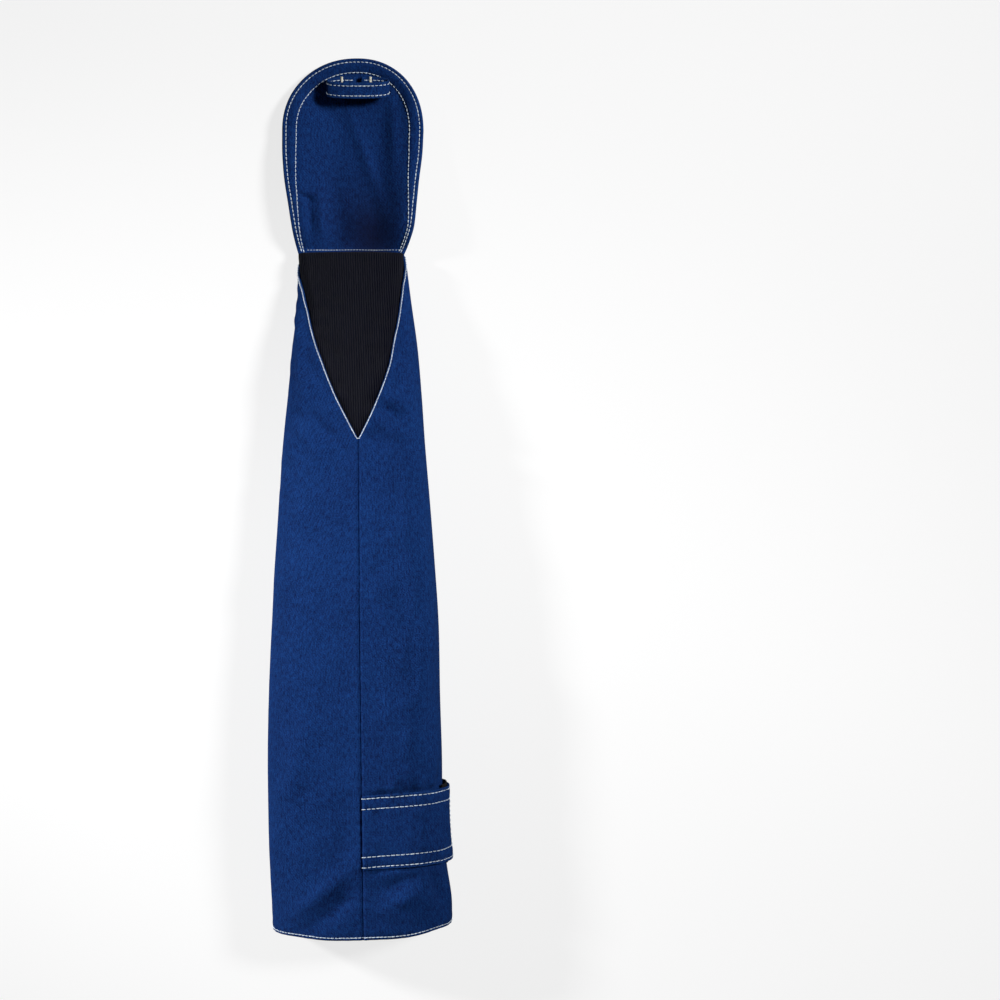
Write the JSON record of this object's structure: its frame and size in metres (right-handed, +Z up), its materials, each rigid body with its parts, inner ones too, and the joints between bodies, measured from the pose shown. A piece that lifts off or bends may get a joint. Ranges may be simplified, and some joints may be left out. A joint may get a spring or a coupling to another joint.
{
  "type": "heat-resistant sleeve",
  "caption": "Tapered cloth work sleeve for the forearm with a ribbed elastic wrist gusset, a rounded hand cover with finger loop, and a hook-and-loop strap at the upper arm.",
  "frame": {"origin": "middle of the sleeve's box, on the surface it lies on", "axes": "+Y along the forearm towards the fingertips, +Z up out of the palm side, +X to the right seen from above, the strap's side"},
  "size_m": [0.1265, 0.6004, 0.0562],
  "materials": {
    "blue_twill": "matt cotton twill",
    "black_elastic": "matt ribbed elastic",
    "black_tape": "matt hook-and-loop tape",
    "white_label": "satin woven label"
  },
  "bodies": {
    "root": {"sleeve_body": "blue_twill", "wrist_gusset": "black_elastic", "hand_cover": "blue_twill", "finger_loop": "blue_twill", "arm_strap": "blue_twill", "strap_hook_tape": "black_tape", "loop_patch": "black_tape", "blank_label": "white_label"}
  },
  "joints": []
}
